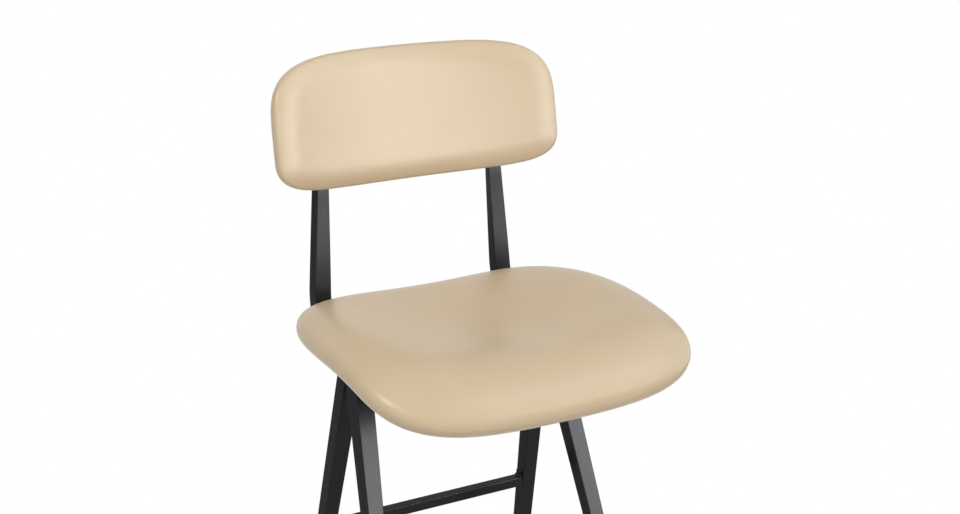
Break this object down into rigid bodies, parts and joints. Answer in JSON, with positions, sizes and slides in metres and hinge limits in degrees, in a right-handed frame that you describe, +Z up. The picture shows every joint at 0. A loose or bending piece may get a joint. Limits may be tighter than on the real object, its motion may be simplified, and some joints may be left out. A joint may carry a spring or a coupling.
{
  "type": "counter stool",
  "caption": "Counter-height stool with a dished upholstered seat, a curved upholstered back on tapered bent posts, and splayed tapered steel legs with a footrest.",
  "frame": {"origin": "middle of the footprint, on the floor", "axes": "+Z up, the sitter faces -Y, +X to the right when seen from the front"},
  "size_m": [0.445, 0.4178, 0.9937],
  "materials": {
    "upholstery": "satin vinyl",
    "plywood": "moulded plywood",
    "dust_cover": "non-woven sheet",
    "frame": "satin powder coat",
    "nylon": "moulded",
    "hardware": "black zinc"
  },
  "bodies": {
    "root": {"seat_pad": "upholstery", "seat_shell": "plywood", "seat_bottom_cover": "dust_cover", "back_pad": "upholstery", "back_shell": "plywood", "back_rear_panel": "upholstery", "back_post_left": "frame", "back_post_right": "frame", "post_top_plug_left": "nylon", "post_top_plug_right": "nylon", "arm_end_plug_left": "nylon", "arm_end_plug_right": "nylon", "front_leg_left": "frame", "front_leg_right": "frame", "rear_leg_left": "frame", "rear_leg_right": "frame", "front_foot_glide_left": "nylon", "front_foot_glide_right": "nylon", "rear_foot_glide_left": "nylon", "rear_foot_glide_right": "nylon", "front_seat_rail": "frame", "rear_seat_rail": "frame", "rear_stretcher": "frame", "front_footrest": "frame", "seat_screw_front_left": "hardware", "seat_screw_front_right": "hardware", "seat_screw_rear_left": "hardware", "seat_screw_rear_right": "hardware", "seat_spacer_front_left": "nylon", "seat_spacer_front_right": "nylon", "seat_spacer_rear_left": "nylon", "seat_spacer_rear_right": "nylon", "seat_insert_front_left": "hardware", "seat_insert_front_right": "hardware", "seat_insert_rear_left": "hardware", "seat_insert_rear_right": "hardware", "back_screw_lower_left": "hardware", "back_screw_lower_right": "hardware", "back_screw_upper_left": "hardware", "back_screw_upper_right": "hardware", "back_insert_lower_left": "hardware", "back_insert_lower_right": "hardware", "back_insert_upper_left": "hardware", "back_insert_upper_right": "hardware"}
  },
  "joints": []
}
